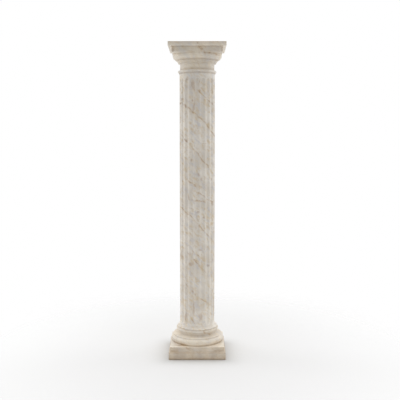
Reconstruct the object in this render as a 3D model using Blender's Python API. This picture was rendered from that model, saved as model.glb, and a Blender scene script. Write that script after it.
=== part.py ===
"""Marble column on a stepped Attic base, with a fluted shaft and a plain round capital.

Three blocks stand dry on each other: the base, the shaft and the capital.
Each is worked out from the sizes below, bottom to top. Lengths are in metres,
+Z is up, the front faces -Y, and the origin is in the middle of the underside.
"""

from math import acos, cos, degrees, hypot, pi, radians, sin, sqrt

import bmesh
import bpy

# How finely curves are cut into flat facets
ROUND_SIDES = 56
TORUS_STEPS = 7
SCOTIA_STEPS = 4
SMALL_CURVE_STEPS = 3
ECHINUS_STEPS = 6
ENTASIS_ROWS = 4
SHARP_ANGLE = radians(30)

# Dry joint between two blocks
JOINT = 0.0003

# Worn arris along the edges of the square slabs
ARRIS = 0.002

# How far a round part runs into the slab that it is cut from
ROOT = 0.012

# Shaft: the drum's radius is the module that every projection below starts from
SHAFT_RADIUS = 0.1700
DRUM_HEIGHT = 2.4254
ENTASIS = 0.0012
CINCTURE_HEIGHT = 0.010
CINCTURE_PROJECTION = 0.026
APOPHYGE_HEIGHT = 0.026
ASTRAGAL_FILLET_HEIGHT = 0.008
ASTRAGAL_FILLET_PROJECTION = 0.004
ASTRAGAL_HEIGHT = 0.024
ASTRAGAL_PROJECTION = 0.010

# Flutes, sunk into the drum, each with a round end above and below
FLUTE_COUNT = 20
FLUTE_DEPTH = 0.0105
FLUTE_ARRIS_WIDTH = 0.011
PLAIN_FOOT_HEIGHT = 0.009
PLAIN_COLLAR_HEIGHT = 0.045
FLUTE_COLUMNS = (-1.0, -0.55, 0.0, 0.55, 1.0)
FLUTE_END_ROWS = (0.0, 0.55, 0.85, 1.0)

# Attic base, round in plan, from the top down: torus, fillet, scotia, fillet, torus
UPPER_TORUS_HEIGHT = 0.041
UPPER_TORUS_PROJECTION = 0.009
UPPER_FILLET_HEIGHT = 0.012
UPPER_FILLET_SETBACK = 0.006
SCOTIA_HEIGHT = 0.015
SCOTIA_DEPTH = 0.003
SCOTIA_LIP = 0.004
LOWER_FILLET_HEIGHT = 0.010
LOWER_FILLET_PROJECTION = 0.037
LOWER_TORUS_HEIGHT = 0.064
LOWER_TORUS_PROJECTION = 0.018
LOWER_TORUS_OVERHANG = 0.009

# Plinth, square in plan, from the top down: the die, a small hollow and a broader step
DIE_HEIGHT = 0.035
DIE_PROJECTION = 0.006
PLINTH_HOLLOW_HEIGHT = 0.018
STEP_HEIGHT = 0.069
STEP_PROJECTION = 0.012

# Bell of the capital, round in plan: necking, small hollow, two annulets, echinus
NECKING_HEIGHT = 0.046
NECKING_SETBACK = 0.0055
BELL_HOLLOW_HEIGHT = 0.020
BELL_HOLLOW_PROJECTION = 0.0135
LOWER_ANNULET_HEIGHT = 0.013
LOWER_ANNULET_PROJECTION = 0.008
UPPER_ANNULET_HEIGHT = 0.014
UPPER_ANNULET_PROJECTION = 0.008
ECHINUS_FOOT_PROJECTION = 0.008
ECHINUS_HEIGHT = 0.046
ECHINUS_SWELL = 0.026
ECHINUS_BAND_HEIGHT = 0.012

# Abacus, square in plan: a lower fascia under a broader one
LOWER_FASCIA_HEIGHT = 0.052
LOWER_FASCIA_PROJECTION = 0.004
UPPER_FASCIA_HEIGHT = 0.039
UPPER_FASCIA_PROJECTION = 0.038

# Radii and half widths, each from the moulding that it grows out of
CINCTURE_RADIUS = SHAFT_RADIUS + CINCTURE_PROJECTION
UPPER_TORUS_RADIUS = CINCTURE_RADIUS + UPPER_TORUS_PROJECTION
UPPER_FILLET_RADIUS = UPPER_TORUS_RADIUS - UPPER_FILLET_SETBACK
SCOTIA_THROAT_RADIUS = UPPER_FILLET_RADIUS - SCOTIA_DEPTH
LOWER_FILLET_RADIUS = UPPER_FILLET_RADIUS + LOWER_FILLET_PROJECTION
LOWER_TORUS_RADIUS = LOWER_FILLET_RADIUS + LOWER_TORUS_PROJECTION
DIE_HALF = LOWER_TORUS_RADIUS + DIE_PROJECTION
STEP_HALF = DIE_HALF + STEP_PROJECTION
ASTRAGAL_FILLET_RADIUS = SHAFT_RADIUS + ASTRAGAL_FILLET_PROJECTION
ASTRAGAL_RADIUS = ASTRAGAL_FILLET_RADIUS + ASTRAGAL_PROJECTION
NECKING_RADIUS = SHAFT_RADIUS - NECKING_SETBACK
BELL_HOLLOW_RADIUS = NECKING_RADIUS + BELL_HOLLOW_PROJECTION
LOWER_ANNULET_RADIUS = BELL_HOLLOW_RADIUS + LOWER_ANNULET_PROJECTION
UPPER_ANNULET_RADIUS = LOWER_ANNULET_RADIUS + UPPER_ANNULET_PROJECTION
ECHINUS_FOOT_RADIUS = UPPER_ANNULET_RADIUS + ECHINUS_FOOT_PROJECTION
ECHINUS_RADIUS = ECHINUS_FOOT_RADIUS + ECHINUS_SWELL
LOWER_FASCIA_HALF = ECHINUS_RADIUS + LOWER_FASCIA_PROJECTION
UPPER_FASCIA_HALF = LOWER_FASCIA_HALF + UPPER_FASCIA_PROJECTION
FLUTE_HALF_WIDTH = (2 * pi * SHAFT_RADIUS / FLUTE_COUNT - FLUTE_ARRIS_WIDTH) / 2

# Heights where one block or one moulding ends and the next begins, from the ground up
HOLLOW_TOP = STEP_HEIGHT + PLINTH_HOLLOW_HEIGHT
PLINTH_TOP = HOLLOW_TOP + DIE_HEIGHT
LOWER_FILLET_TOP = PLINTH_TOP + LOWER_TORUS_HEIGHT + LOWER_FILLET_HEIGHT
SCOTIA_TOP = LOWER_FILLET_TOP + SCOTIA_HEIGHT
UPPER_FILLET_TOP = SCOTIA_TOP + UPPER_FILLET_HEIGHT
BASE_TOP = UPPER_FILLET_TOP + UPPER_TORUS_HEIGHT
SHAFT_BOTTOM = BASE_TOP + JOINT
DRUM_BOTTOM = SHAFT_BOTTOM + CINCTURE_HEIGHT + APOPHYGE_HEIGHT
DRUM_TOP = DRUM_BOTTOM + DRUM_HEIGHT
ASTRAGAL_FILLET_TOP = DRUM_TOP + ASTRAGAL_FILLET_HEIGHT
SHAFT_TOP = ASTRAGAL_FILLET_TOP + ASTRAGAL_HEIGHT
CAPITAL_BOTTOM = SHAFT_TOP + JOINT
NECKING_TOP = CAPITAL_BOTTOM + NECKING_HEIGHT
BELL_HOLLOW_TOP = NECKING_TOP + BELL_HOLLOW_HEIGHT
LOWER_ANNULET_TOP = BELL_HOLLOW_TOP + LOWER_ANNULET_HEIGHT
UPPER_ANNULET_TOP = LOWER_ANNULET_TOP + UPPER_ANNULET_HEIGHT
ECHINUS_TOP = UPPER_ANNULET_TOP + ECHINUS_HEIGHT
ABACUS_BOTTOM = ECHINUS_TOP + ECHINUS_BAND_HEIGHT
FASCIA_BREAK = ABACUS_BOTTOM + LOWER_FASCIA_HEIGHT
TOP = FASCIA_BREAK + UPPER_FASCIA_HEIGHT


def arc(radius, height, reach, rise, start, end, steps):
    """Points of an elliptical arc in the outline, about (radius, height), angles in degrees."""
    points = []
    for step in range(steps + 1):
        angle = radians(start + (end - start) * step / steps)
        points.append((radius + reach * cos(angle), height + rise * sin(angle)))
    return points


def torus_outline(bottom, height, radius, lower_cut, upper_cut):
    """Half-round moulding, stopped short where a fillet beside it stands out past its middle."""
    half = height / 2
    centre = radius - half
    start = -90.0
    end = 90.0
    if lower_cut > centre:
        start = -degrees(acos((lower_cut - centre) / half))
    if upper_cut > centre:
        end = degrees(acos((upper_cut - centre) / half))
    return arc(centre, bottom + half, half, half, start, end, TORUS_STEPS)


def stack_rings(name, rings, material):
    """Solid through closed rings of equally many points, each ring above the one before."""
    mesh = bpy.data.meshes.new(name)
    bm = bmesh.new()
    loops = [[bm.verts.new(point) for point in ring] for ring in rings]
    sides = len(loops[0])
    for lower, upper in zip(loops, loops[1:]):
        for side in range(sides):
            after = (side + 1) % sides
            bm.faces.new((lower[side], lower[after], upper[after], upper[side]))
    bm.faces.new(reversed(loops[0]))
    bm.faces.new(loops[-1])
    bm.to_mesh(mesh)
    bm.free()
    mesh.materials.append(material)
    mesh.shade_smooth()
    mesh.set_sharp_from_angle(angle=SHARP_ANGLE)
    body = bpy.data.objects.new(name, mesh)
    bpy.context.scene.collection.objects.link(body)
    return body


def turned(name, outline, material):
    """Round solid from an outline of (radius, height) points."""
    rings = []
    for radius, height in outline:
        turns = [2 * pi * side / ROUND_SIDES for side in range(ROUND_SIDES)]
        rings.append([(radius * cos(turn), radius * sin(turn), height) for turn in turns])
    return stack_rings(name, rings, material)


def squared(name, outline, material):
    """Square solid from an outline of (half width, height) points."""
    corners = ((-1, -1), (1, -1), (1, 1), (-1, 1))
    rings = []
    for half, height in outline:
        rings.append([(half * x, half * y, height) for x, y in corners])
    return stack_rings(name, rings, material)


def unite(body, addition):
    """Join another solid to a body with a Boolean modifier, and keep it out of the render."""
    union = body.modifiers.new("Union of " + addition.name, "BOOLEAN")
    union.operation = "UNION"
    union.solver = "EXACT"
    union.object = addition
    addition.hide_render = True
    addition.display_type = "WIRE"


def stone(name, colour, roughness):
    """Principled material of one block."""
    material = bpy.data.materials.new(name)
    material.use_nodes = True
    shader = material.node_tree.nodes["Principled BSDF"]
    shader.inputs["Base Color"].default_value = (*colour, 1.0)
    shader.inputs["Roughness"].default_value = roughness
    shader.inputs["Metallic"].default_value = 0.0
    return material


def plinth_outline():
    """Broad step, a hollow that draws it in, and the die, from the ground up."""
    outline = [(STEP_HALF, 0.0)]
    outline += arc(STEP_HALF, HOLLOW_TOP, STEP_PROJECTION, PLINTH_HOLLOW_HEIGHT, 270, 180, SMALL_CURVE_STEPS)
    outline += [(DIE_HALF, PLINTH_TOP - ARRIS), (DIE_HALF - ARRIS, PLINTH_TOP)]
    return outline


def attic_outline():
    """Two tori with the scotia and its fillets between them, from inside the plinth up."""
    throat = LOWER_FILLET_TOP + SCOTIA_HEIGHT / 2
    lip = LOWER_FILLET_RADIUS - SCOTIA_LIP
    bowl = arc(lip, throat, lip - SCOTIA_THROAT_RADIUS, SCOTIA_HEIGHT / 2, 270, 180, SCOTIA_STEPS)
    roof = arc(UPPER_FILLET_RADIUS, throat, SCOTIA_DEPTH, SCOTIA_HEIGHT / 2, 180, 90, SMALL_CURVE_STEPS)

    seat = LOWER_TORUS_RADIUS - LOWER_TORUS_OVERHANG
    torus = torus_outline(PLINTH_TOP, LOWER_TORUS_HEIGHT, LOWER_TORUS_RADIUS, seat, LOWER_FILLET_RADIUS)
    outline = [(seat, PLINTH_TOP - ROOT)] + torus
    outline += [(LOWER_FILLET_RADIUS, LOWER_FILLET_TOP)]
    outline += bowl + roof[1:]
    above = torus_outline(UPPER_FILLET_TOP, UPPER_TORUS_HEIGHT, UPPER_TORUS_RADIUS, UPPER_FILLET_RADIUS, 0.0)
    return outline + above


def make_base():
    """Square plinth and round mouldings, cut from one block."""
    marble = stone("base marble", (0.52, 0.43, 0.33), 0.45)
    base = squared("base", plinth_outline(), marble)
    unite(base, turned("base mouldings", attic_outline(), marble))


def drum_radius(height):
    """Radius of the drum at a height, with its slight swelling between foot and collar."""
    return SHAFT_RADIUS + ENTASIS * sin(pi * (height - DRUM_BOTTOM) / DRUM_HEIGHT)


def flute_sink(across, beyond):
    """Depth of a flute at a distance across it and a distance beyond its straight run."""
    bend = (FLUTE_HALF_WIDTH ** 2 + FLUTE_DEPTH ** 2) / (2 * FLUTE_DEPTH)
    away = min(hypot(across, beyond), FLUTE_HALF_WIDTH)
    return sqrt(bend ** 2 - away ** 2) - (bend - FLUTE_DEPTH)


def plain_ring(radius, height):
    """Ring of the shaft with its points where the flutes' columns run."""
    ring = []
    for flute in range(FLUTE_COUNT):
        middle = 2 * pi * flute / FLUTE_COUNT - pi / 2
        for column in FLUTE_COLUMNS:
            turn = middle + column * FLUTE_HALF_WIDTH / SHAFT_RADIUS
            ring.append((radius * cos(turn), radius * sin(turn), height))
    return ring


def fluted_ring(height, beyond):
    """Ring of the drum, drawn in at each flute, at a distance beyond the flutes' straight run."""
    ring = []
    sinks = [flute_sink(column * FLUTE_HALF_WIDTH, beyond) for column in FLUTE_COLUMNS]
    for number, (x, y, z) in enumerate(plain_ring(1.0, height)):
        reach = drum_radius(height) - sinks[number % len(sinks)]
        ring.append((reach * x, reach * y, z))
    return ring


def make_shaft():
    """Fluted drum between its foot and its head mouldings, one flute centred on the front."""
    run_bottom = DRUM_BOTTOM + PLAIN_FOOT_HEIGHT + FLUTE_HALF_WIDTH
    run_top = DRUM_TOP - PLAIN_COLLAR_HEIGHT - FLUTE_HALF_WIDTH
    apophyge = arc(CINCTURE_RADIUS, DRUM_BOTTOM, CINCTURE_PROJECTION, APOPHYGE_HEIGHT, 270, 180, SCOTIA_STEPS)
    foot = [(CINCTURE_RADIUS, SHAFT_BOTTOM)] + apophyge
    head = [(SHAFT_RADIUS, DRUM_TOP), (ASTRAGAL_FILLET_RADIUS, DRUM_TOP)]
    head += torus_outline(ASTRAGAL_FILLET_TOP, ASTRAGAL_HEIGHT, ASTRAGAL_RADIUS, ASTRAGAL_FILLET_RADIUS, 0.0)

    rings = [plain_ring(radius, height) for radius, height in foot]
    for share in reversed(FLUTE_END_ROWS):
        rings.append(fluted_ring(run_bottom - share * FLUTE_HALF_WIDTH, share * FLUTE_HALF_WIDTH))
    for row in range(1, ENTASIS_ROWS):
        rings.append(fluted_ring(run_bottom + (run_top - run_bottom) * row / ENTASIS_ROWS, 0.0))
    for share in FLUTE_END_ROWS:
        rings.append(fluted_ring(run_top + share * FLUTE_HALF_WIDTH, share * FLUTE_HALF_WIDTH))
    rings += [plain_ring(radius, height) for radius, height in head]
    stack_rings("shaft", rings, stone("shaft marble", (0.50, 0.42, 0.33), 0.42))


def bell_outline():
    """Necking, annulets and echinus, from the joint up into the abacus."""
    spread = BELL_HOLLOW_PROJECTION
    outline = [(NECKING_RADIUS, CAPITAL_BOTTOM)]
    outline += arc(BELL_HOLLOW_RADIUS, NECKING_TOP, spread, BELL_HOLLOW_HEIGHT, 180, 90, SMALL_CURVE_STEPS)
    outline += [(LOWER_ANNULET_RADIUS, BELL_HOLLOW_TOP), (LOWER_ANNULET_RADIUS, LOWER_ANNULET_TOP)]
    outline += [(UPPER_ANNULET_RADIUS, LOWER_ANNULET_TOP), (UPPER_ANNULET_RADIUS, UPPER_ANNULET_TOP)]
    outline += arc(ECHINUS_FOOT_RADIUS, ECHINUS_TOP, ECHINUS_SWELL, ECHINUS_HEIGHT, -90, 0, ECHINUS_STEPS)
    outline += [(ECHINUS_RADIUS, ABACUS_BOTTOM + ROOT)]
    return outline


def abacus_outline():
    """Two square fascias, the broader one on top, with worn edges."""
    outline = [(LOWER_FASCIA_HALF - ARRIS, ABACUS_BOTTOM), (LOWER_FASCIA_HALF, ABACUS_BOTTOM + ARRIS)]
    outline += [(LOWER_FASCIA_HALF, FASCIA_BREAK), (UPPER_FASCIA_HALF - ARRIS, FASCIA_BREAK)]
    outline += [(UPPER_FASCIA_HALF, FASCIA_BREAK + ARRIS), (UPPER_FASCIA_HALF, TOP - ARRIS)]
    outline += [(UPPER_FASCIA_HALF - ARRIS, TOP)]
    return outline


def make_capital():
    """Round bell and square abacus, cut from one block."""
    marble = stone("capital marble", (0.50, 0.41, 0.31), 0.45)
    capital = squared("capital", abacus_outline(), marble)
    unite(capital, turned("capital bell", bell_outline(), marble))


for old in list(bpy.data.objects):
    bpy.data.objects.remove(old, do_unlink=True)
make_base()
make_shaft()
make_capital()
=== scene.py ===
"""Fluted marble column on a stepped Attic base, dressed as carved and honed stone.

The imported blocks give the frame: base, shaft and capital. Each is replaced by a fine carved surface of the
same mouldings, worked out from their sizes, and finished in veined marble. Lengths are in metres, +Z is up
and the front faces -Y.
"""

import bpy
import numpy as np
from bpy.props import FloatProperty, FloatVectorProperty, IntProperty, PointerProperty
from bpy.types import NodeSocket, Operator, Panel, PropertyGroup
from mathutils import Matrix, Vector


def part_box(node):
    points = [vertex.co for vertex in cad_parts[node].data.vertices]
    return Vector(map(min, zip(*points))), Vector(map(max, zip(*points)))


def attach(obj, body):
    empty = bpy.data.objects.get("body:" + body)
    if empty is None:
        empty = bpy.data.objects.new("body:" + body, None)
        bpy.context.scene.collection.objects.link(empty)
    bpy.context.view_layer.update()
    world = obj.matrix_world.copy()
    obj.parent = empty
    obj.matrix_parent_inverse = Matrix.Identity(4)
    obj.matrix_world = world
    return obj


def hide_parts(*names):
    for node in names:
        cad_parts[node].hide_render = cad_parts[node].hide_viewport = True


bl_info = {
    "name": "Fluted Marble Column",
    "version": (1, 0, 0),
    "blender": (4, 5, 0),
    "location": "3D View > Sidebar > Column",
    "description": "Carves and finishes a veined marble column around its packed frame",
    "category": "Object",
}

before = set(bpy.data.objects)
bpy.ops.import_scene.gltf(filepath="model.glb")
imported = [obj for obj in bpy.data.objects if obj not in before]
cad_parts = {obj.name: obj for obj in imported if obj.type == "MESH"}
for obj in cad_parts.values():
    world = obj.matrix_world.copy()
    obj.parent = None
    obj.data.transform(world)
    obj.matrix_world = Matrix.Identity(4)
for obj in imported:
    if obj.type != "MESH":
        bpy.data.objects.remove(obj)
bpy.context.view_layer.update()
BASE_LOW, BASE_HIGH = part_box("base")
SHAFT_LOW, SHAFT_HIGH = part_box("shaft")
CAPITAL_LOW, CAPITAL_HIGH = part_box("capital")

# Mix node's sockets for colours
MIX_FACTOR = 0
MIX_A = 6
MIX_B = 7
MIX_RESULT = 2

# Edges turned by more than this stay crisp
SHARP_ANGLE = np.radians(50)

# How much outline length a full change from square to round plan counts for
ROUND_LENGTH = 0.10

# How far an outline runs in over a flat top, so that the edge before it can be worn
LEDGE_RUN = 0.005
TOP_RUN = 0.004

# How far round its ellipse the capital's cushion turns: less than a right angle makes it straighter
CUSHION_TURN = np.radians(58)

# Where the plain drum begins past a flute's end, in half widths of the flute
FLUTE_RIM = 1.12

# Cover of painted shade along the middle of a flute, in the dust's colour, following its depth
FLUTE_SHADE = 0.06

# Chip in the die's front left corner: its middle, its half sizes and its depth
CHIP_PLACE = (-0.238, -0.260, 0.122)
CHIP_SIZE = (0.014, 0.010, 0.009)
CHIP_DEPTH = 0.004

# Ripple in the chip's break: its share of the depth, and its waves in radians per metre along x and z
RIPPLE = 0.35
RIPPLE_ALONG = 900
RIPPLE_UP = 1100

# Fall of the marble's beds to the right, as seen from the front, and how far its mottling is stretched
# along the fall and into the block
BED_FALL = np.radians(46)
BED_STRETCH = (2.2, 1.5, 1.0)

# Sizes of the marble's patterns
DRIFT_SIZE = 0.100
CLOUD_SIZE = 0.150
COOL_SIZE = 0.034
WARM_SIZE = 0.026
PULSE_SIZE = 0.045
HAIR_SIZE = 0.100
SPECK_SIZE = 0.032
DUST_AND_SHADE_SIZE = 0.050
GRAIN_SIZE = 0.003
GRAIN_DEPTH = 0.0004

# Cover of each kind of mineral over the stone, where it is strongest
HAIR_COVER = 0.30
BORDER_COVER = 0.46
HEART_COVER = 0.32
POCKET_COVER = 0.34
SPECK_COVER = 0.45

# Length over which a vein thins out at its ends, and how many half widths it has thinned by there
TAPER = 0.035
THINNED = 4.0

# Half depth of a pocket of mineral, into the block
POCKET_DEPTH = 0.035

# Calcite's lower index of refraction, which suits a honed and waxed face
CALCITE_IOR = 1.49


def linear(code):
    """Linear colour of an sRGB hex code: each channel by the sRGB curve, with full alpha."""
    srgb = np.array([int(code[i:i + 2], 16) for i in (0, 2, 4)]) / 255
    low = srgb / 12.92
    high = ((srgb + 0.055) / 1.055) ** 2.4
    return (*np.where(srgb <= 0.04045, low, high).tolist(), 1.0)


def length(name, description, default):
    """Length that a user may change, in metres."""
    return FloatProperty(
        name=name, description=description, default=default, unit="LENGTH", precision=4)


def colour(name, description, code):
    """Colour that a user may change, from its sRGB hex code."""
    return FloatVectorProperty(
        name=name, description=description, default=linear(code), subtype="COLOR", size=4)


class BaseSizes(PropertyGroup):
    """Sizes of the plinth and its round mouldings, from the ground up."""

    worn_edge: length("Worn edge", "Bevel of the edge that stands on the floor", 0.005)
    step_height: length("Step height", "Height of the plinth's broad lower step", 0.069)
    step_projection: length("Step projection", "How far the step stands out past the die", 0.012)
    hollow_height: length("Hollow height", "Height of the hollow between step and die", 0.018)
    die_height: length("Die height", "Height of the plinth's upper slab", 0.035)
    die_projection: length("Die projection", "How far the die stands out past the lower torus", 0.006)
    lower_torus_height: length("Lower torus height", "Height of the lower half-round", 0.064)
    lower_torus_projection: length("Lower torus projection", "Reach of that torus past its fillet", 0.018)
    lower_torus_seat: length("Lower torus seat", "How far the lower torus stands out past its seat", 0.009)
    lower_fillet_height: length("Lower fillet height", "Height of the fillet above the lower torus", 0.010)
    lower_fillet_projection: length("Lower fillet projection", "Reach of that fillet past the upper", 0.037)
    scotia_height: length("Scotia height", "Height of the round hollow", 0.036)
    scotia_depth: length("Scotia depth", "Depth of the hollow under the upper fillet", 0.008)
    scotia_lip: length("Scotia lip", "Flat lip in front of the hollow", 0.004)
    upper_fillet_height: length("Upper fillet height", "Height of the fillet above the hollow", 0.005)
    upper_torus_projection: length("Upper torus projection", "Reach of that torus past its fillet", 0.006)


class ShaftSizes(PropertyGroup):
    """Sizes of the fluted shaft with its foot and head mouldings."""

    cincture_height: length("Cincture height", "Height of the fillet at the foot", 0.010)
    cincture_projection: length("Cincture projection", "How far the foot spreads past the drum", 0.026)
    apophyge_height: length("Apophyge height", "Height of the curve from the foot into the drum", 0.026)
    entasis: length("Entasis", "Swelling of the drum at the middle of its height", 0.0012)
    head_fillet_height: length("Head fillet height", "Height of the fillet under the astragal", 0.008)
    head_fillet_projection: length("Head fillet projection", "Reach of that fillet past the drum", 0.004)
    astragal_height: length("Astragal height", "Height of the half-round at the head", 0.024)
    astragal_projection: length("Astragal projection", "Reach of the astragal past its fillet", 0.010)
    flute_count: IntProperty(name="Flutes", description="Number of flutes around the drum", default=20, min=3)
    flute_depth: length("Flute depth", "Depth of a flute at its middle", 0.0105)
    arris_width: length("Arris width", "Flat left between two flutes", 0.011)
    arris_wear: length("Arris wear", "Rounding of a flute's edges", 0.0004)
    plain_foot: length("Plain foot", "Plain height under the flutes", 0.009)
    plain_collar: length("Plain collar", "Plain height over the flutes", 0.045)


class CapitalSizes(PropertyGroup):
    """Sizes of the round bell and the square abacus, from the joint up."""

    necking_height: length("Necking height", "Height of the plain neck", 0.046)
    hollow_height: length("Hollow height", "Height of the curve over the neck", 0.020)
    hollow_projection: length("Hollow projection", "How far that curve spreads", 0.0105)
    annulet_projection: length("Annulet projection", "Reach of each annulet past what is under it", 0.008)
    lower_annulet_height: length("Lower annulet height", "Height of the lower annulet", 0.013)
    upper_annulet_height: length("Upper annulet height", "Height of the upper annulet", 0.014)
    echinus_height: length("Echinus height", "Height of the swelling cushion", 0.046)
    echinus_swell: length("Echinus swell", "How far the cushion spreads", 0.036)
    band_height: length("Band height", "Upright band on top of the cushion", 0.012)
    lower_fascia_height: length("Lower fascia height", "Height of the abacus's lower band", 0.052)
    lower_fascia_projection: length("Lower fascia projection", "Reach of that band past the cushion", 0.001)
    upper_fascia_projection: length("Upper fascia projection", "Reach of the top band past the lower", 0.034)


class CarvingDetail(PropertyGroup):
    """How finely the surfaces are worked out."""

    row_step: length("Row step", "Distance between rows along an outline", 0.0022)
    wear: length("Wear", "Rounding of the moulded edges", 0.0011)
    corner: length("Corner radius", "Rounding of the upright edges of plinth and abacus", 0.0030)
    side_columns: IntProperty(name="Side columns", description="Columns along a square's side", default=96)
    corner_columns: IntProperty(name="Corner columns", description="Columns around a corner", default=7)
    # Reach, depth and share of the recess darkening: old dust together with painted shade in the recesses
    dust_and_shade_reach: length("Grime reach", "How wide a recess still holds grime", 0.009)
    dust_and_shade_depth: length("Grime depth", "Depth of a recess that is full of grime", 0.0040)
    dust_and_shade_share: FloatProperty(name="Grime share", description="Cover of a full recess", default=0.26)


class MarbleLook(PropertyGroup):
    """Colours of the marble."""

    cream: colour("Cream", "Ground of the shaft's stone", "F4EEE4")
    peach: colour("Peach", "Ground of the base's and the capital's stone", "F5EBDA")
    cloud: colour("Cloud", "Darker clouds in the ground", "E6DFD4")
    cool: colour("Cool", "Grey and violet mottling", "D9D7D7")
    warm: colour("Warm", "Yellow and ochre mottling", "E0CDAC")
    ochre: colour("Ochre", "Soft borders of the veins", "C4A068")
    brown: colour("Brown", "Hearts of the veins", "997246")
    umber: colour("Umber", "Pockets and specks of brown mineral", "A0784A")
    # Colour of the old dust and wax, also used for the painted shade in the recesses and flutes
    grime: colour("Dust and shade", "Old dust and wax in the recesses", "9A7A4E")
    drift: length("Drift", "How far the veins wander, at full noise", 0.055)


class StudioSizes(PropertyGroup):
    """Camera, floor and light of the white studio."""

    lens: FloatProperty(name="Lens", description="Focal length in millimetres", default=57.66)
    camera_side: length("Camera side", "Camera's place to the right of the column's axis", 0.0268)
    camera_distance: length("Camera distance", "Camera's distance in front of the axis", 6.242)
    camera_height: length("Camera height", "Camera's height over the floor", 2.082)
    camera_dip: FloatProperty(
        name="Camera dip", description="How far it looks down", default=np.radians(5.2), subtype="ANGLE")
    floor_radius: length("Floor radius", "Radius of the paper floor", 12.0)
    fade_start: length("Fade start", "Where the floor begins to fade into the white", 0.9)
    fade_end: length("Fade end", "Where the floor has faded into the white", 2.8)
    front_light: FloatProperty(name="Front light", description="Studio light from the front", default=0.42)
    back_light: FloatProperty(name="Back light", description="Studio light from the back", default=0.9)
    zenith_light: FloatProperty(name="Zenith light", description="Studio light from overhead", default=0.27)
    left_power: FloatProperty(name="Left power", description="Watts of the left softbox", default=26.0)
    right_power: FloatProperty(name="Right power", description="Watts of the right softbox", default=18.0)
    top_power: FloatProperty(name="Top power", description="Watts of the top softbox", default=130.0)
    key_power: FloatProperty(name="Key power", description="Watts of the key softbox", default=5.0)
    paper: colour("Paper", "Pale floor", "EEEEEE")
    # Painted contact shadow on the paper around the plinth: its grey and how far it reaches
    painted_shadow: colour("Rim", "Painted shadow on the paper right beside the plinth", "D3D3D2")
    painted_shadow_width: length("Rim width", "How far the painted shadow reaches", 0.30)


def arc(centre, reach, rise, start, end, steps):
    """Elliptical arc: the centre plus reach times the cosine and rise times the sine of even angles, which
    are given in degrees."""
    turn = np.radians(np.linspace(start, end, steps + 1))
    return np.column_stack((centre[0] + reach * np.cos(turn), centre[1] + rise * np.sin(turn)))


def half_round(bottom, top, radius, lower_cut=0.0, upper_cut=0.0):
    """Half circle from bottom to top that reaches the radius, cut where the fillet beside it ends.

    The cut is the angle whose cosine times the half height reaches from the circle's middle to the fillet.
    """
    half = (top - bottom) / 2
    middle = radius - half
    start = -np.degrees(np.arccos(np.clip((lower_cut - middle) / half, 0, 1)))
    end = np.degrees(np.arccos(np.clip((upper_cut - middle) / half, 0, 1)))
    return arc((middle, bottom + half), half, half, start, end, 24)


def with_plan(points, roundness):
    """Outline points with a third number: 0 for a square plan, 1 for a round one."""
    points = np.asarray(points, float)
    return np.column_stack((points, np.full(len(points), float(roundness))))


def blurred(values, spread):
    """Running mean down the rows under a bell curve, spread rows wide. The ends are mirrored through
    themselves first, so that they stay in place."""
    reach = int(np.ceil(3 * spread))
    bell = np.exp(-0.5 * (np.arange(-reach, reach + 1) / spread) ** 2)
    bell /= bell.sum()
    before = 2 * values[:1] - values[reach:0:-1]
    after = 2 * values[-1:] - values[-2:-reach - 2:-1]
    padded = np.vstack((before, values, after))
    return np.column_stack([np.convolve(column, bell, "valid") for column in padded.T])


def eased(outline, detail):
    """Outline with worn edges: points at even steps along its length, then blurred over the wear.
    A change from square to round plan counts as length, so that it gets rows of its own."""
    gaps = np.diff(outline, axis=0) * (1.0, 1.0, ROUND_LENGTH)
    along = np.concatenate(([0.0], np.cumsum(np.linalg.norm(gaps, axis=1))))
    even = np.linspace(0.0, along[-1], int(along[-1] / detail.row_step) + 2)
    rows = np.column_stack([np.interp(even, along, column) for column in outline.T])
    return blurred(rows, detail.wear / detail.row_step)


def recess_of(rows, detail):
    """Share of dust and painted shade in each row of an outline, by how deep it lies in a recess, where shade
    falls: the distance along the outward normal from the row to the bell-weighted mean of the rows around it,
    against the full depth."""
    points = rows[:, :2]
    tangent = np.gradient(points, axis=0)
    tangent /= np.maximum(np.linalg.norm(tangent, axis=1, keepdims=True), 1e-9)
    outward = np.column_stack((tangent[:, 1], -tangent[:, 0]))
    around = blurred(points, detail.dust_and_shade_reach / detail.row_step)
    depth = ((around - points) * outward).sum(axis=1) / detail.dust_and_shade_depth
    return detail.dust_and_shade_share * np.clip(depth, 0, 1)


def lined(rows, lines):
    """Share of dust and painted shade in level lines: a bell curve about each line's height, as wide and as
    full as the line, times how near the row's roundness is to the line's."""
    level, spread, share, roundness = (np.array(column)[:, None] for column in zip(*lines))
    bell = np.exp(-0.5 * ((rows[:, 1] - level) / spread) ** 2)
    return (share * bell * (1 - np.abs(rows[:, 2] - roundness))).max(axis=0)


def dusted_and_shaded(rows, detail, lines, stain_and_shade):
    """Share of dust and painted shade in each row of an outline: what recess, lines and stain leave clean is
    multiplied.

    The stain and painted shade is a share at each of some heights, and lies on upright faces alone: it is
    weighed by the square of the outline's upright part.
    """
    tangent = np.gradient(rows[:, :2], axis=0)
    upright = (tangent[:, 1] / np.maximum(np.linalg.norm(tangent, axis=1), 1e-9)) ** 2
    stain_and_shade_share = np.interp(rows[:, 1], *zip(*stain_and_shade)) * upright
    clean = (1 - recess_of(rows, detail)) * (1 - lined(rows, lines)) * (1 - stain_and_shade_share)
    return 1 - clean


def square_reach(turn, half, corner):
    """Distance from the axis to a square with rounded corners, in the direction turn.

    On a side it is the half width over the larger of cosine and sine. At a corner it is where the ray
    meets the corner's circle, by the quadratic formula.
    """
    larger = np.maximum(np.abs(np.cos(turn)), np.abs(np.sin(turn)))
    smaller = np.minimum(np.abs(np.cos(turn)), np.abs(np.sin(turn)))
    side = half / larger
    inner = half - corner
    along = inner * (larger + smaller)
    round_part = along + np.sqrt(np.maximum(along ** 2 - 2 * inner ** 2 + corner ** 2, 0))
    return np.where(side * smaller <= inner, side, round_part)


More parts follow.
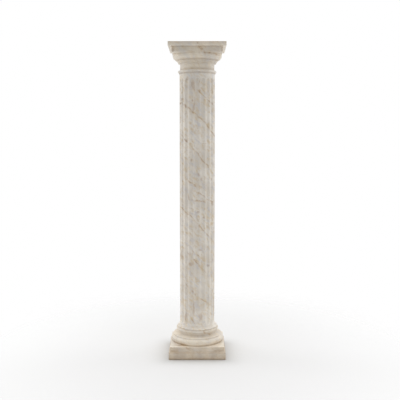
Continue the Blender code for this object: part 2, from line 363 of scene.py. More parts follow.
def square_turns(half, detail):
    """Directions of the columns around a square: even along each side and around each corner's circle."""
    inner = half - detail.corner
    side = np.arctan(np.linspace(-1, 1, detail.side_columns) * inner / half)
    bend = np.radians(np.linspace(0, 90, detail.corner_columns + 2)[1:-1])
    corner = np.arctan2(inner + detail.corner * np.sin(bend), inner + detail.corner * np.cos(bend))
    quarter = np.concatenate((side, corner))
    return np.concatenate([quarter + np.radians(90 * number) for number in range(4)])


def carved(rows, turns, detail):
    """Grid of points from outline rows and directions: each point lies at its row's reach on the square plan
    or on the circle, or at the share between the two that the row's roundness gives."""
    reach, height, roundness = (column[:, None] for column in rows.T)
    distance = roundness * reach + (1 - roundness) * square_reach(turns[None, :], reach, detail.corner)
    return np.stack((distance * np.cos(turns), distance * np.sin(turns), height + 0 * distance), axis=-1)


def chipped(grid, centre, size, depth):
    """Grid with one chip: points near the centre sink inwards and down, most at the centre and less by the
    square of the distance further out, with a ripple that makes the break uneven."""
    centre = np.array(centre)
    away = np.linalg.norm((grid - centre) / np.array(size), axis=-1)
    ripple = 1 + RIPPLE * np.sin(grid[..., 0] * RIPPLE_ALONG) * np.cos(grid[..., 2] * RIPPLE_UP)
    sink = depth * np.clip(1 - away ** 2, 0, 1) * ripple
    inward = -np.sign(centre) * (0.0, 0.7, 0.7)
    return grid + sink[..., None] * inward


def ring_faces(grid):
    """Indices of a grid of rings, of each point's next on its ring, and the quads between the rings."""
    index = np.arange(grid.shape[0] * grid.shape[1]).reshape(grid.shape[:2])
    after = np.roll(index, -1, axis=1)
    quads = np.stack((index[:-1], after[:-1], after[1:], index[1:]), axis=-1).reshape(-1, 4)
    return index, after, quads


def closed_skin(name, grid, grime, material):
    """Closed mesh over a grid of rings, the first at the bottom, each end closed by a fan to its middle.
    The share of dust and painted shade at each point is kept in an attribute that the marble reads."""
    index, after, quads = ring_faces(grid)
    under = np.column_stack((after[0], index[0], np.full(len(index[0]), index.size)))
    over = np.column_stack((index[-1], after[-1], np.full(len(index[0]), index.size + 1)))
    poles = [grid[0].mean(axis=0), grid[-1].mean(axis=0)]
    points = np.vstack((grid.reshape(-1, 3), poles))

    mesh = bpy.data.meshes.new(name)
    mesh.from_pydata(points.tolist(), [], quads.tolist() + under.tolist() + over.tolist())
    shares = np.concatenate((np.broadcast_to(grime, index.shape).ravel(), (0.0, 0.0)))
    attribute = mesh.attributes.new("grime", "FLOAT", "POINT")
    attribute.data.foreach_set("value", shares.astype(np.float32))
    mesh.materials.append(material)
    mesh.shade_smooth()
    mesh.set_sharp_from_angle(angle=SHARP_ANGLE)
    piece = bpy.data.objects.new(name, mesh)
    bpy.context.scene.collection.objects.link(piece)
    return piece


def dress(piece, block):
    """Puts a piece in place of a packed block: hangs it on the root and hides the block."""
    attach(piece, "root")
    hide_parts(block)


def base_outline(sizes):
    """Plinth, lower torus, fillet, scotia, fillet and upper torus, from the ground up."""
    step = BASE_HIGH.x
    die = step - sizes.step_projection
    lower_torus = die - sizes.die_projection
    lower_fillet = lower_torus - sizes.lower_torus_projection
    upper_fillet = lower_fillet - sizes.lower_fillet_projection
    throat = upper_fillet - sizes.scotia_depth
    lip = lower_fillet - sizes.scotia_lip
    upper_torus = upper_fillet + sizes.upper_torus_projection

    hollow_top = sizes.step_height + sizes.hollow_height
    plinth_top = hollow_top + sizes.die_height
    torus_top = plinth_top + sizes.lower_torus_height
    fillet_top = torus_top + sizes.lower_fillet_height
    scotia_middle = fillet_top + sizes.scotia_height / 2
    upper_fillet_top = fillet_top + sizes.scotia_height + sizes.upper_fillet_height

    worn = [(step - sizes.worn_edge, BASE_LOW.z), (step, BASE_LOW.z + sizes.worn_edge)]
    hollow = arc((step, hollow_top), sizes.step_projection, sizes.hollow_height, 270, 180, 12)
    square = np.vstack((worn, hollow, [(die, plinth_top), (die - LEDGE_RUN, plinth_top)]))
    seat = lower_torus - sizes.lower_torus_seat
    lower = half_round(plinth_top, torus_top, lower_torus, lower_cut=seat, upper_cut=lower_fillet)
    bowl = arc((lip, scotia_middle), lip - throat, sizes.scotia_height / 2, 270, 180, 24)
    roof = arc((upper_fillet, scotia_middle), sizes.scotia_depth, sizes.scotia_height / 2, 180, 90, 12)
    upper = half_round(upper_fillet_top, BASE_HIGH.z, upper_torus, lower_cut=upper_fillet)
    foot = [(seat + LEDGE_RUN, plinth_top), (seat, plinth_top)]
    round_part = np.vstack((foot, lower, [(lower_fillet, fillet_top)], bowl, roof[1:], upper))
    return np.vstack((with_plan(square, 0), with_plan(round_part, 1)))


def capital_outline(sizes):
    """Necking, hollow, two annulets, echinus and abacus, from the joint up."""
    upper_fascia = CAPITAL_HIGH.x
    lower_fascia = upper_fascia - sizes.upper_fascia_projection
    echinus = lower_fascia - sizes.lower_fascia_projection
    echinus_foot = echinus - sizes.echinus_swell
    upper_annulet = echinus_foot - sizes.annulet_projection
    lower_annulet = upper_annulet - sizes.annulet_projection
    hollow_rim = lower_annulet - sizes.annulet_projection
    necking = hollow_rim - sizes.hollow_projection

    necking_top = CAPITAL_LOW.z + sizes.necking_height
    hollow_top = necking_top + sizes.hollow_height
    lower_annulet_top = hollow_top + sizes.lower_annulet_height
    upper_annulet_top = lower_annulet_top + sizes.upper_annulet_height
    echinus_top = upper_annulet_top + sizes.echinus_height
    abacus_bottom = echinus_top + sizes.band_height
    fascia_break = abacus_bottom + sizes.lower_fascia_height

    neck = arc((hollow_rim, necking_top), sizes.hollow_projection, sizes.hollow_height, 180, 90, 16)
    annulets = [
        (lower_annulet, hollow_top), (lower_annulet, lower_annulet_top),
        (upper_annulet, lower_annulet_top), (upper_annulet, upper_annulet_top)]
    cushion_reach = sizes.echinus_swell / (1 - np.cos(CUSHION_TURN))
    cushion_rise = sizes.echinus_height / np.sin(CUSHION_TURN)
    cushion_start = -np.degrees(CUSHION_TURN)
    cushion = arc((echinus - cushion_reach, echinus_top), cushion_reach, cushion_rise, cushion_start, 0, 32)
    bell = np.vstack(([(necking, CAPITAL_LOW.z)], neck, annulets, cushion, [(echinus, abacus_bottom)]))
    abacus = [
        (lower_fascia, abacus_bottom), (lower_fascia, fascia_break), (upper_fascia, fascia_break),
        (upper_fascia, CAPITAL_HIGH.z), (upper_fascia - TOP_RUN, CAPITAL_HIGH.z)]
    return np.vstack((with_plan(bell, 1), with_plan(abacus, 0)))


def flute_sink(across, beyond, half_width, sizes):
    """Depth of a flute at a distance across it and beyond its straight run.

    It is a circle's arc through both edges and the full depth, which turns into a bowl at the ends. Past the
    edges it levels out by a soft maximum with zero, whose softness is the wear of the arris.
    """
    bend = (half_width ** 2 + sizes.flute_depth ** 2) / (2 * sizes.flute_depth)
    away = np.minimum(np.hypot(across, beyond), bend)
    depth = np.sqrt(bend ** 2 - away ** 2) - (bend - sizes.flute_depth)
    return sizes.arris_wear * np.logaddexp(0, depth / sizes.arris_wear)


def flute_columns(half_width, pitch):
    """Distances across one flute and its arris, from shares of its half width, closest at its two edges."""
    edge = np.array((0.93, 0.965, 1.0, 1.035, 1.08, 1.17))
    inside = np.linspace(-0.84, 0.84, 9)
    shares = np.concatenate((-edge[::-1], inside, edge))
    return np.concatenate((shares * half_width, (pitch / 2,)))


def make_shaft_grid(sizes, detail):
    """Grid of the shaft, with its share of dust and painted shade: foot outline, fluted drum and head
    outline. Along the flutes the share is painted shade alone, deepest in their middle.

    The drum's reach is its radius plus a half sine of swelling up its height, less the depth of the flutes.
    """
    drum = SHAFT_HIGH.x - sizes.cincture_projection
    drum_bottom = SHAFT_LOW.z + sizes.cincture_height + sizes.apophyge_height
    fillet = drum + sizes.head_fillet_projection
    astragal = fillet + sizes.astragal_projection
    fillet_top = SHAFT_HIGH.z - sizes.astragal_height
    drum_top = fillet_top - sizes.head_fillet_height

    pitch = 2 * np.pi * drum / sizes.flute_count
    half_width = (pitch - sizes.arris_width) / 2
    across = np.tile(flute_columns(half_width, pitch), sizes.flute_count)
    middles = np.repeat(np.arange(sizes.flute_count) * 2 * np.pi / sizes.flute_count - np.pi / 2,
                        len(across) // sizes.flute_count)
    turns = middles + across / drum

    run_bottom = drum_bottom + sizes.plain_foot + half_width
    run_top = drum_top - sizes.plain_collar - half_width
    bowl = half_width * np.concatenate(((FLUTE_RIM,), np.sin(np.radians(np.linspace(90, 0, 13)))))
    drum_heights = np.concatenate((
        np.linspace(drum_bottom, run_bottom - bowl[0], 3)[1:-1],
        run_bottom - bowl,
        np.linspace(run_bottom, run_top, 62)[1:-1],
        run_top + bowl[::-1],
        np.linspace(run_top + bowl[0], drum_top, 6)[1:-1]))
    beyond = np.maximum(np.maximum(run_bottom - drum_heights, drum_heights - run_top), 0)
    sink = flute_sink(across[None, :], beyond[:, None], half_width, sizes)
    swell = sizes.entasis * np.sin(np.pi * (drum_heights - drum_bottom) / (drum_top - drum_bottom))
    reach = drum + swell[:, None] - sink

    foot_centre = (SHAFT_HIGH.x, drum_bottom)
    foot_curve = arc(foot_centre, sizes.cincture_projection, sizes.apophyge_height, 270, 180, 20)
    foot = eased(with_plan(np.vstack(([(SHAFT_HIGH.x, SHAFT_LOW.z)], foot_curve)), 1), detail)
    bead = half_round(fillet_top, SHAFT_HIGH.z, astragal, lower_cut=fillet)
    head = eased(with_plan(np.vstack(([(drum, drum_top), (fillet, drum_top)], bead)), 1), detail)

    ends = [part[:, :1] + 0 * turns for part in (foot, head)]
    distance = np.vstack((ends[0], reach, ends[1]))
    heights = np.concatenate((foot[:, 1], drum_heights, head[:, 1]))[:, None] + 0 * distance
    grid = np.stack((distance * np.cos(turns), distance * np.sin(turns), heights), axis=-1)
    # Painted shade along the flutes, deepest in their middle
    dust_and_shade_cover = FLUTE_SHADE * sink / sizes.flute_depth
    ends = [dusted_and_shaded(part, detail, SHAFT_LINES, SHAFT_STAIN_AND_SHADE)[:, None] + 0 * turns for part in (foot, head)]
    return grid, np.vstack((ends[0], dust_and_shade_cover, ends[1]))


def node(tree, kind, inputs, **settings):
    """Adds a shader node with its settings, and sets each input or links it to another node's output."""
    made = tree.nodes.new("ShaderNode" + kind)
    for name, value in settings.items():
        setattr(made, name, value)
    for socket, value in inputs.items():
        if isinstance(value, NodeSocket):
            tree.links.new(value, made.inputs[socket])
        else:
            made.inputs[socket].default_value = value
    return made


def sheets(tree, place, across, veins, front):
    """Distance to the nearest of several sheets of mineral, in half widths of that sheet.

    A sheet is all points where height plus fall times x plus dip times y keeps one value, so on the front it
    shows as a line that falls to the right. The value is what it is at the middle of the block's front.
    Past its reach to either side of its middle a sheet thins out, which adds to the distance.
    """
    nearest = None
    for height, fall, dip, width, middle, reach in veins:
        level = node(tree, "VectorMath", {0: place, 1: (fall, dip, 1.0)}, operation="DOT_PRODUCT")
        centre = height - dip * front
        scaled = node(tree, "Math", {0: level.outputs["Value"], 1: 1 / width, 2: -centre / width},
                      operation="MULTIPLY_ADD")
        away = node(tree, "Math", {0: scaled.outputs[0]}, operation="ABSOLUTE").outputs[0]
        aside = node(tree, "Math", {0: across, 1: middle}, operation="SUBTRACT").outputs[0]
        aside = node(tree, "Math", {0: aside}, operation="ABSOLUTE").outputs[0]
        thinned = node(tree, "MapRange", {"Value": aside, "From Min": reach, "From Max": reach + TAPER,
                                          "To Max": THINNED}).outputs[0]
        away = node(tree, "Math", {0: away, 1: thinned}, operation="ADD").outputs[0]
        if nearest is not None:
            away = node(tree, "Math", {0: nearest, 1: away}, operation="MINIMUM").outputs[0]
        nearest = away
    return nearest


def pockets(tree, place, spots):
    """Distance to the nearest of several pockets of mineral, 1 at a pocket's skin.

    A pocket is an ellipsoid: the length of the way from its middle, divided by its half sizes.
    """
    nearest = None
    for middle, half_width, half_height in spots:
        half = np.array((half_width, POCKET_DEPTH, half_height))
        way = node(tree, "VectorMath", {0: place, 1: 1 / half, 2: -np.array(middle) / half},
                   operation="MULTIPLY_ADD").outputs[0]
        away = node(tree, "VectorMath", {0: way}, operation="LENGTH").outputs["Value"]
        if nearest is not None:
            away = node(tree, "Math", {0: nearest, 1: away}, operation="MINIMUM").outputs[0]
        nearest = away
    return nearest


def honed_marble(name, look, ground, shift, mottling, veins, spots, front):
    """Cream calcite marble, sawn and honed: matt with a soft sheen. Cool and warm mottling runs with the
    veins, which are soft ochre with brown hearts. Brown mineral sits in pockets and specks, and old dust with
    painted shade in the recesses and along the flutes.

    The ground is its lightest colour, the shift moves its patterns so that no two blocks are alike, and the
    mottling is the cover of its patches. The front is how far the block's front lies from the axis.
    """
    material = bpy.data.materials.new(name)
    material.use_nodes = True
    tree = material.node_tree
    shader = tree.nodes["Principled BSDF"]
    place = node(tree, "TexCoord", {}).outputs["Object"]
    moved = node(tree, "Mapping", {"Vector": place, "Location": shift}).outputs["Vector"]

    # Drift of the beds: bends every sheet by up to 15 mm over 0.1 m, with ragged detail down to 3 mm
    drift = node(tree, "TexNoise", {"Vector": moved, "Scale": 1 / DRIFT_SIZE, "Detail": 5.0,
                                    "Roughness": 0.62})
    centred = node(tree, "VectorMath", {0: drift.outputs["Color"], 1: (0.5, 0.5, 0.5)}, operation="SUBTRACT")
    bend = node(tree, "VectorMath", {0: centred.outputs[0], "Scale": look.drift}, operation="SCALE")
    bent = node(tree, "VectorMath", {0: place, 1: bend.outputs[0]}, operation="ADD").outputs[0]
    across = node(tree, "SeparateXYZ", {0: bent}).outputs["X"]

    # Beds: coordinates turned along the fall of the sheets and stretched
    along = node(tree, "Mapping", {"Vector": bent, "Location": shift, "Rotation": (0.0, BED_FALL, 0.0),
                                   "Scale": BED_STRETCH}, vector_type="TEXTURE").outputs["Vector"]

    # Clouds of light and dark ground, 0.15 m across
    cloud_noise = node(tree, "TexNoise", {"Vector": moved, "Scale": 1 / CLOUD_SIZE, "Detail": 3.0})
    clouds = node(tree, "MapRange", {"Value": cloud_noise.outputs[0], "From Min": 0.36, "From Max": 0.64},
                  interpolation_type="SMOOTHSTEP").outputs[0]
    layers = [(clouds, look.cloud)]

    # Cool mottling, 20 to 40 mm across
    cool_noise = node(tree, "TexNoise", {"Vector": along, "Scale": 1 / COOL_SIZE, "Detail": 4.0,
                                         "Roughness": 0.6})
    cool = node(tree, "MapRange", {"Value": cool_noise.outputs[0], "From Min": 0.48, "From Max": 0.70,
                                   "To Max": mottling}, interpolation_type="SMOOTHSTEP").outputs[0]
    layers.append((cool, look.cool))

    # Warm mottling, 15 to 30 mm across, from another place in the noise
    warm_noise = node(tree, "TexNoise", {"Vector": along, "Scale": 1 / WARM_SIZE, "Detail": 4.0,
                                         "Roughness": 0.6}, noise_dimensions="4D")
    warm_noise.inputs["W"].default_value = 3.0
    warm = node(tree, "MapRange", {"Value": warm_noise.outputs[0], "From Min": 0.47, "From Max": 0.70,
                                   "To Max": mottling}, interpolation_type="SMOOTHSTEP").outputs[0]
    layers.append((warm, look.warm))

    # Strength of the veins, which come and go every 45 mm
    pulse_noise = node(tree, "TexNoise", {"Vector": moved, "Scale": 1 / PULSE_SIZE, "Detail": 3.0})
    pulse = node(tree, "MapRange", {"Value": pulse_noise.outputs[0], "From Min": 0.43, "From Max": 0.60,
                                    "To Min": 0.20}, interpolation_type="SMOOTHSTEP").outputs[0]

    # Hair veins: where a noise passes through its middle value, broken up by the pulse
    hair_noise = node(tree, "TexNoise", {"Vector": along, "Scale": 1 / HAIR_SIZE, "Detail": 5.0,
                                         "Roughness": 0.6})
    hair_away = node(tree, "Math", {0: hair_noise.outputs[0], 1: 0.5}, operation="SUBTRACT")
    hair_near = node(tree, "Math", {0: hair_away.outputs[0]}, operation="ABSOLUTE")
    hairs = node(tree, "MapRange", {"Value": hair_near.outputs[0], "From Max": 0.014,
                                    "To Min": HAIR_COVER, "To Max": 0.0}).outputs[0]
    hairs = node(tree, "Math", {0: hairs, 1: pulse}, operation="MULTIPLY").outputs[0]
    layers.append((hairs, look.ochre))

    # Main veins: a soft ochre border, 3 half widths out, and a brown heart
    near = sheets(tree, bent, across, veins, front)
    for reach, cover, mineral in ((3.0, BORDER_COVER, look.ochre), (1.5, HEART_COVER, look.brown)):
        share = node(tree, "MapRange", {"Value": near, "From Max": reach, "To Min": cover, "To Max": 0.0},
                     interpolation_type="SMOOTHSTEP").outputs[0]
        share = node(tree, "Math", {0: share, 1: pulse}, operation="MULTIPLY").outputs[0]
        layers.append((share, mineral))

    # Pockets of brown mineral, soft at the skin
    close = pockets(tree, bent, spots)
    pocket = node(tree, "MapRange", {"Value": close, "From Min": 0.40, "From Max": 1.45,
                                     "To Min": POCKET_COVER, "To Max": 0.0},
                  interpolation_type="SMOOTHSTEP").outputs[0]
    layers.append((pocket, look.umber))

    # Specks of brown mineral, 4 to 10 mm across, in loose groups
    cells = node(tree, "TexVoronoi", {"Vector": bent, "Scale": 1 / SPECK_SIZE, "Randomness": 1.0})
    specks = node(tree, "MapRange", {"Value": cells.outputs["Distance"], "From Min": 0.06, "From Max": 0.24,
                                     "To Min": SPECK_COVER, "To Max": 0.0},
                  interpolation_type="SMOOTHSTEP").outputs[0]
    specks = node(tree, "Math", {0: specks, 1: warm}, operation="MULTIPLY").outputs[0]
    layers.append((specks, look.umber))

    # Old dust and wax, with painted shade, in the recesses and along the flutes, uneven along them
    grime = node(tree, "Attribute", {}, attribute_name="grime").outputs["Fac"]
    dust_and_shade_noise = node(tree, "TexNoise", {"Vector": moved, "Scale": 1 / DUST_AND_SHADE_SIZE, "Detail": 4.0})
    dust_and_shade_cover = node(tree, "MapRange", {"Value": dust_and_shade_noise.outputs[0], "From Min": 0.35, "From Max": 0.65,
                                   "To Min": 0.75, "To Max": 1.1}).outputs[0]
    dust_and_shade_cover = node(tree, "Math", {0: grime, 1: dust_and_shade_cover}, operation="MULTIPLY").outputs[0]
    layers.append((dust_and_shade_cover, look.grime))

    # Each layer covers its share of what lies under it, from the ground up
    stone = ground
    for share, tint in layers:
        mixed = node(tree, "Mix", {MIX_FACTOR: share, MIX_A: stone, MIX_B: tint}, data_type="RGBA")
        stone = mixed.outputs[MIX_RESULT]

    # Crystal grain, really under 1 mm and drawn at 3 mm so that it shows, as a faint bump
    grain = node(tree, "TexNoise", {"Vector": moved, "Scale": 1 / GRAIN_SIZE, "Detail": 3.0})
    bump = node(tree, "Bump", {"Strength": 0.25, "Distance": GRAIN_DEPTH, "Height": grain.outputs[0]})
    rough = node(tree, "MapRange", {"Value": cloud_noise.outputs[0], "From Min": 0.3, "From Max": 0.7,
                                    "To Min": 0.38, "To Max": 0.52}).outputs[0]
    tree.links.new(stone, shader.inputs["Base Color"])
    tree.links.new(rough, shader.inputs["Roughness"])
    tree.links.new(bump.outputs[0], shader.inputs["Normal"])
    shader.inputs["IOR"].default_value = CALCITE_IOR
    return material


# A vein: height in the middle of the front, fall to the right, dip to the back, half width of its heart, then
# where along x its middle is and how far it reaches to each side
SHAFT_VEINS = (
    (2.565, 0.85, 0.05, 0.005, 0.075, 0.080),
    (2.330, 0.95, 0.25, 0.006, 0.000, 0.300),
    (2.065, 0.10, -0.20, 0.004, 0.070, 0.015),
    (1.965, 1.15, -0.05, 0.006, -0.020, 0.125),
    (1.645, 0.95, 0.20, 0.006, -0.050, 0.030),
    (1.605, 0.45, 0.50, 0.005, 0.080, 0.070),
    (1.520, 0.15, -0.15, 0.005, 0.000, 0.070),
    (1.305, 1.10, 0.15, 0.006, 0.000, 0.300),
    (1.005, 0.70, 0.20, 0.004, -0.015, 0.030),
    (0.920, 1.05, 0.20, 0.007, -0.010, 0.085),
    (0.600, 0.80, 0.05, 0.004, 0.085, 0.070),
    (0.590, 1.15, 0.20, 0.006, -0.070, 0.060),
    (0.290, 1.35, 0.15, 0.006, -0.035, 0.015),
)
BASE_VEINS = (
    (0.290, 0.80, -0.20, 0.006, 0.070, 0.050),
    (0.070, 0.70, 0.10, 0.003, -0.035, 0.030),
    (0.060, 0.60, 0.20, 0.006, -0.125, 0.055),
)
CAPITAL_VEINS = (
    (2.988, 1.05, 0.25, 0.011, 0.032, 0.040),
    (2.912, 0.08, 0.05, 0.006, 0.135, 0.060),
)

# A pocket in the shaft's skin: x and height of its middle, half width and half height
SHAFT_POCKETS = (
    (-0.095, 2.67, 0.012, 0.020),
    (0.025, 2.65, 0.006, 0.015),
    (-0.050, 2.62, 0.008, 0.020),
    (-0.034, 2.61, 0.012, 0.060),
    (0.020, 2.56, 0.010, 0.020),
    (0.145, 2.55, 0.007, 0.012),
    (-0.145, 2.48, 0.015, 0.012),
    (-0.050, 2.47, 0.008, 0.010),
    (0.150, 2.44, 0.007, 0.015),
    (-0.110, 2.42, 0.007, 0.015),
    (-0.034, 2.41, 0.010, 0.055),
    (-0.095, 2.09, 0.013, 0.020),
    (-0.055, 1.91, 0.010, 0.015),
    (0.015, 1.78, 0.011, 0.015),
    (0.030, 1.73, 0.009, 0.015),
    (0.145, 1.72, 0.007, 0.015),
    (-0.080, 1.56, 0.010, 0.025),
    (0.145, 1.48, 0.012, 0.025),
    (0.010, 1.41, 0.013, 0.012),
    (0.065, 1.36, 0.013, 0.010),
    (0.030, 1.05, 0.019, 0.010),
    (-0.155, 0.98, 0.012, 0.050),
    (0.150, 0.94, 0.007, 0.015),
    (-0.060, 0.91, 0.025, 0.020),
    (0.105, 0.89, 0.014, 0.013),
    (-0.035, 0.47, 0.011, 0.080),
    (0.030, 0.39, 0.020, 0.045),
    (-0.110, 0.38, 0.011, 0.050),
)

# A pocket elsewhere: its middle, half width and half height
BASE_POCKETS = (
    # This one is no pocket of mineral but a long brown band along the lower torus's foot on the left, where
    # it meets the plinth
    ((-0.140, -0.205, 0.130), 0.070, 0.009),
    ((-0.230, -0.262, 0.086), 0.034, 0.012),
    ((0.210, -0.262, 0.086), 0.050, 0.013),
)
CAPITAL_POCKETS = (
    ((-0.226, -0.238, 2.935), 0.016, 0.026),
    ((0.228, -0.238, 2.935), 0.011, 0.026),
)

# A line of old dust and painted shade, where shade falls under and between the mouldings: its height, half
# width and share, and 0 on a square plan or 1 on a round one
BASE_LINES = (
    (0.071, 0.005, 0.50, 0),
    (0.127, 0.006, 0.32, 1),
    (0.200, 0.004, 0.14, 1),
    (0.236, 0.004, 0.20, 1),
    (0.262, 0.004, 0.30, 1),
)
SHAFT_LINES = (
    (0.266, 0.004, 0.22, 1),
    (2.729, 0.006, 0.30, 1),
)
CAPITAL_LINES = (
    (2.765, 0.010, 0.26, 1),
    (2.827, 0.004, 0.08, 1),
    (2.853, 0.005, 0.30, 1),
    (2.903, 0.004, 0.12, 1),
)

# Stain and painted shade on upright faces, from the floor up: height and share. It rises to full at the
# floor, painted shade where the plinth stands, and again towards the abacus's top edge
BASE_STAIN_AND_SHADE = ((0.000, 1.00), (0.008, 0.78), (0.020, 0.50), (0.040, 0.42), (0.069, 0.37), (0.090, 0.30),
              (0.120, 0.36), (0.123, 0.08), (0.150, 0.14), (0.200, 0.16), (0.234, 0.14), (0.240, 0.06),
              (0.264, 0.03))
SHAFT_STAIN_AND_SHADE = ((0.264, 0.03), (0.300, 0.00), (2.725, 0.00), (2.734, 0.16), (2.745, 0.04), (2.758, 0.04))
CAPITAL_STAIN_AND_SHADE = ((2.758, 0.04), (2.909, 0.03), (2.911, 0.08), (2.950, 0.04), (2.966, 0.00), (2.980, 0.16),
                 (3.000, 0.28))


class COLUMN_OT_base(Operator):
    """Carve the base: square plinth in two steps and the round Attic mouldings on it"""

    bl_idname = "column.carve_base"
    bl_label = "Carve Base"

    def execute(self, context):
        scene = context.scene
        detail = scene.column_detail
        rows = eased(base_outline(scene.column_base), detail)
        grid = carved(rows, square_turns(BASE_HIGH.x, detail), detail)
        grid = chipped(grid, CHIP_PLACE, CHIP_SIZE, CHIP_DEPTH)
        look = scene.column_look
        marble = honed_marble("honed_marble_base", look, look.peach, (3.1, 0.7, 5.2), 0.40, BASE_VEINS,
                              BASE_POCKETS, BASE_HIGH.x)
        grime = dusted_and_shaded(rows, detail, BASE_LINES, BASE_STAIN_AND_SHADE)
        dress(closed_skin("base_carved", grid, grime[:, None], marble), "base")
        return {"FINISHED"}


class COLUMN_OT_shaft(Operator):
    """Carve the shaft: fluted drum with its foot and its astragal"""

    bl_idname = "column.carve_shaft"
    bl_label = "Carve Shaft"

    def execute(self, context):
        scene = context.scene
        grid, grime = make_shaft_grid(scene.column_shaft, scene.column_detail)
        look = scene.column_look
        drum = SHAFT_HIGH.x - scene.column_shaft.cincture_projection
        spots = [((x, -np.sqrt(drum ** 2 - x ** 2), height), half_width, half_height)
                 for x, height, half_width, half_height in SHAFT_POCKETS]
        marble = honed_marble("honed_marble_shaft", look, look.cream, (0.4, 2.3, 1.1), 0.80, SHAFT_VEINS,
                              spots, drum)
        dress(closed_skin("shaft_carved", grid, grime, marble), "shaft")
        return {"FINISHED"}


class COLUMN_OT_capital(Operator):
    """Carve the capital: necking, annulets and echinus under a square abacus"""

    bl_idname = "column.carve_capital"
    bl_label = "Carve Capital"

    def execute(self, context):
        scene = context.scene
        detail = scene.column_detail
        rows = eased(capital_outline(scene.column_capital), detail)
        grid = carved(rows, square_turns(CAPITAL_HIGH.x, detail), detail)
        look = scene.column_look
        marble = honed_marble("honed_marble_capital", look, look.peach, (7.9, 4.4, 0.3), 0.45, CAPITAL_VEINS,
                              CAPITAL_POCKETS, CAPITAL_HIGH.x)
        grime = dusted_and_shaded(rows, detail, CAPITAL_LINES, CAPITAL_STAIN_AND_SHADE)
        dress(closed_skin("capital_carved", grid, grime[:, None], marble), "capital")
        return {"FINISHED"}


def paper_floor(studio):
    """Flat disc of pale paper: rings of even directions at radii that grow by the square."""
    radii = np.linspace(0, 1, 25)[1:, None] ** 2 * studio.floor_radius
    turns = np.radians(np.arange(0, 360, 5))
    grid = np.stack((radii * np.cos(turns), radii * np.sin(turns), 0 * radii * turns), axis=-1)
    index, after, quads = ring_faces(grid)
    middle = np.column_stack((index[0], after[0], np.full(len(index[0]), index.size)))
    points = np.vstack((grid.reshape(-1, 3), (0, 0, 0)))
    mesh = bpy.data.meshes.new("floor")
    mesh.from_pydata(points.tolist(), [], quads[:, ::-1].tolist() + middle.tolist())
    floor = bpy.data.objects.new("floor", mesh)
    bpy.context.scene.collection.objects.link(floor)
    return floor


def studio_paper(studio):
    """Matt white background paper, which fades into the white around it with distance, so no edge shows.
    Around the plinth it is greyed by a painted contact shadow.
    """
    material = bpy.data.materials.new("matt_studio_paper")
    material.use_nodes = True
    tree = material.node_tree
    shader = tree.nodes["Principled BSDF"]
    shader.inputs["Roughness"].default_value = 0.9
    shader.inputs["Specular IOR Level"].default_value = 0.1
    place = node(tree, "TexCoord", {}).outputs["Object"]
    radius = node(tree, "VectorMath", {0: place}, operation="LENGTH").outputs["Value"]

    # Painted contact shadow: grey paper around the plinth, by the cube of the nearness: distance past the
    # plinth's square, as the length of the overshoot, against the shadow's width
    plinth = (BASE_HIGH.x, BASE_HIGH.x, 0.0)
    size = node(tree, "VectorMath", {0: place}, operation="ABSOLUTE").outputs[0]
    over = node(tree, "VectorMath", {0: size, 1: plinth}, operation="SUBTRACT").outputs[0]
    over = node(tree, "VectorMath", {0: over, 1: (0.0, 0.0, 0.0)}, operation="MAXIMUM").outputs[0]
    gap = node(tree, "VectorMath", {0: over}, operation="LENGTH").outputs["Value"]
    near = node(tree, "MapRange", {"Value": gap, "From Max": studio.painted_shadow_width, "To Min": 1.0,
                                   "To Max": 0.0}).outputs[0]
    near = node(tree, "Math", {0: near, 1: 3.0}, operation="POWER").outputs[0]
    paper = node(tree, "Mix", {MIX_FACTOR: near, MIX_A: studio.paper, MIX_B: studio.painted_shadow}, data_type="RGBA")
    tree.links.new(paper.outputs[MIX_RESULT], shader.inputs["Base Color"])

    # Fade into the white
    fade = node(tree, "MapRange", {"Value": radius, "From Min": studio.fade_start,
                                   "From Max": studio.fade_end}, interpolation_type="SMOOTHSTEP").outputs[0]
    clear = node(tree, "BsdfTransparent", {})
    mixed = node(tree, "MixShader", {0: fade, 1: shader.outputs[0], 2: clear.outputs[0]})
    tree.links.new(mixed.outputs[0], tree.nodes["Material Output"].inputs["Surface"])
    return material


def white_studio(studio):
    """Evenly white surroundings to the eye, whose light grows from the front to the back and overhead."""
    world = bpy.data.worlds.new("white_studio")
    bpy.context.scene.world = world
    world.use_nodes = True
    tree = world.node_tree
    background = tree.nodes["Background"]
    background.inputs["Color"].default_value = (1.0, 1.0, 1.0, 1.0)
    direction = node(tree, "TexCoord", {}).outputs["Generated"]
    parts = node(tree, "SeparateXYZ", {0: direction})
    light = node(tree, "MapRange", {"Value": parts.outputs["Y"], "From Min": -1.0, "From Max": 1.0,
                                    "To Min": studio.front_light, "To Max": studio.back_light})
    above = node(tree, "MapRange", {"Value": parts.outputs["Z"], "To Max": studio.zenith_light})
    light = node(tree, "Math", {0: light.outputs[0], 1: above.outputs[0]}, operation="ADD")
    seen = node(tree, "LightPath", {}).outputs["Is Camera Ray"]
    strength = node(tree, "Mix", {0: seen, 2: light.outputs[0], 3: 1.0}, data_type="FLOAT")
    tree.links.new(strength.outputs[0], background.inputs["Strength"])


# A softbox: its name, place, the point that it faces, its width and height, and the value with its power
SOFTBOXES = (
    ("softbox_left", (-3.6, 1.2, 1.9), (0.0, 0.0, 1.4), 1.6, 3.6, "left_power"),
    ("softbox_right", (3.6, 1.2, 1.9), (0.0, 0.0, 1.4), 1.6, 3.6, "right_power"),
    ("softbox_key", (2.9, -3.4, 2.2), (0.0, 0.0, 1.4), 1.2, 2.4, "key_power"),
    ("softbox_top", (0.0, -0.6, 9.0), (0.0, 0.0, 0.0), 4.0, 4.0, "top_power"),
)


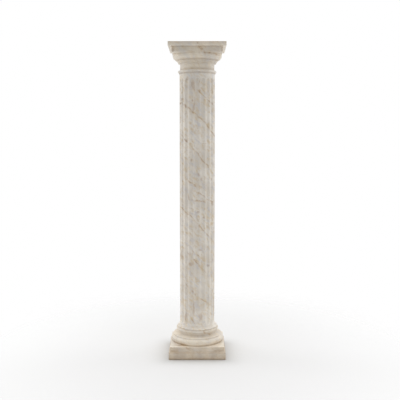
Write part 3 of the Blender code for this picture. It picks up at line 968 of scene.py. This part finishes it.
def softbox(name, place, aim, width, height, power):
    """Area light that faces a point, kept out of the camera's sight."""
    light = bpy.data.lights.new(name, "AREA")
    light.shape = "RECTANGLE"
    light.size = width
    light.size_y = height
    light.energy = power
    box = bpy.data.objects.new(name, light)
    bpy.context.scene.collection.objects.link(box)
    box.location = place
    box.rotation_euler = (Vector(aim) - Vector(place)).to_track_quat("-Z", "Y").to_euler()
    box.visible_camera = False


class COLUMN_OT_stage(Operator):
    """Set the stage: pale floor, soft white light and the camera"""

    bl_idname = "column.set_stage"
    bl_label = "Set Stage"

    def execute(self, context):
        studio = context.scene.column_studio
        floor = paper_floor(studio)
        floor.data.materials.append(studio_paper(studio))
        white_studio(studio)
        for name, place, aim, width, height, power in SOFTBOXES:
            softbox(name, place, aim, width, height, getattr(studio, power))
        camera = bpy.data.objects.new("camera", bpy.data.cameras.new("camera"))
        context.scene.collection.objects.link(camera)
        camera.data.lens = studio.lens
        camera.location = (studio.camera_side, -studio.camera_distance, studio.camera_height)
        camera.rotation_euler = (np.radians(90) - studio.camera_dip, 0.0, 0.0)
        context.scene.camera = camera
        context.scene.view_settings.view_transform = "Standard"
        return {"FINISHED"}


class COLUMN_PT_panel(Panel):
    """Buttons and sizes of the column in the 3D view's sidebar"""

    bl_idname = "COLUMN_PT_panel"
    bl_label = "Marble Column"
    bl_space_type = "VIEW_3D"
    bl_region_type = "UI"
    bl_category = "Column"

    def draw(self, context):
        for operator in OPERATORS:
            self.layout.operator(operator.bl_idname)
        for name in GROUPS:
            group = getattr(context.scene, name)
            box = self.layout.box()
            for prop in group.bl_rna.properties:
                if prop.identifier not in ("name", "rna_type"):
                    box.prop(group, prop.identifier)


OPERATORS = (COLUMN_OT_base, COLUMN_OT_shaft, COLUMN_OT_capital, COLUMN_OT_stage)
GROUPS = {
    "column_base": BaseSizes,
    "column_shaft": ShaftSizes,
    "column_capital": CapitalSizes,
    "column_detail": CarvingDetail,
    "column_look": MarbleLook,
    "column_studio": StudioSizes,
}


def register():
    """Registers the classes and hangs each group of sizes on the scene."""
    for group in (*GROUPS.values(), *OPERATORS, COLUMN_PT_panel):
        bpy.utils.register_class(group)
    for name, group in GROUPS.items():
        setattr(bpy.types.Scene, name, PointerProperty(type=group))


def unregister():
    """Takes the groups off the scene and removes the classes, last first."""
    for name in GROUPS:
        delattr(bpy.types.Scene, name)
    for group in reversed((*GROUPS.values(), *OPERATORS, COLUMN_PT_panel)):
        bpy.utils.unregister_class(group)


def main():
    register()
    bpy.ops.column.carve_base()
    bpy.ops.column.carve_shaft()
    bpy.ops.column.carve_capital()
    bpy.ops.column.set_stage()


if __name__ == "__main__":
    main()
